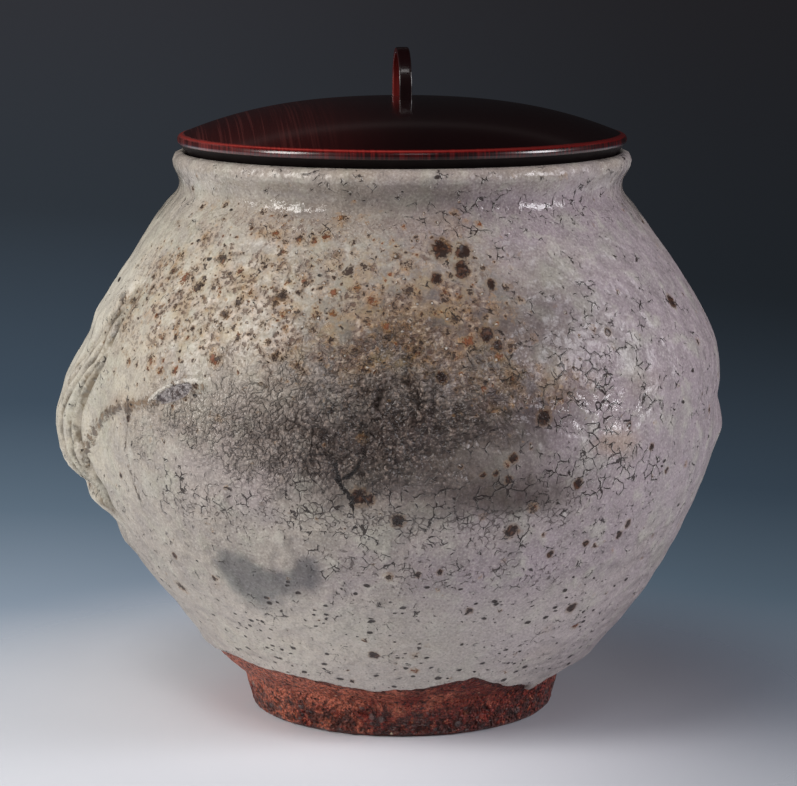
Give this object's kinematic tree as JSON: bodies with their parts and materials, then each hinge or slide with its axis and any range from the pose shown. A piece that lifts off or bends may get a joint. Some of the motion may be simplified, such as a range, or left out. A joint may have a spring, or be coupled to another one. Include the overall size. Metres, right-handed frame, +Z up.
{
  "type": "water jar",
  "caption": "Wide-bellied glazed stoneware water jar on a bare clay foot ring, closed by a domed lacquered wooden lid that lifts off by a bent strip handle.",
  "frame": {"origin": "centre of the foot ring's standing face", "axes": "+Z up along the jar's axis; the front, as pictured, faces -Y; the lid handle's span runs nearly along Y"},
  "size_m": [0.2246, 0.2134, 0.2227],
  "materials": {
    "stoneware_clay": "bare, gritty red-brown fired clay",
    "ash_glaze": "pale grey crackled glaze, pitted and rust-speckled",
    "lining_glaze": "pale grey glaze, satin",
    "lacquered_wood": "translucent dark red-brown lacquer over grain, gloss",
    "lacquered_strip": "dark red-brown lacquer, gloss"
  },
  "bodies": {
    "jar": {"clay_body": "stoneware_clay", "outer_glaze": "ash_glaze", "inner_glaze": "lining_glaze", "flank_folds": "ash_glaze"},
    "lid": {"lid_board": "lacquered_wood", "lid_handle": "lacquered_strip"}
  },
  "joints": [
    {"name": "lid_lift", "type": "slide", "parent": "jar", "child": "lid", "axis": [0, 0, 1], "range_m": [0, 0.1]}
  ]
}
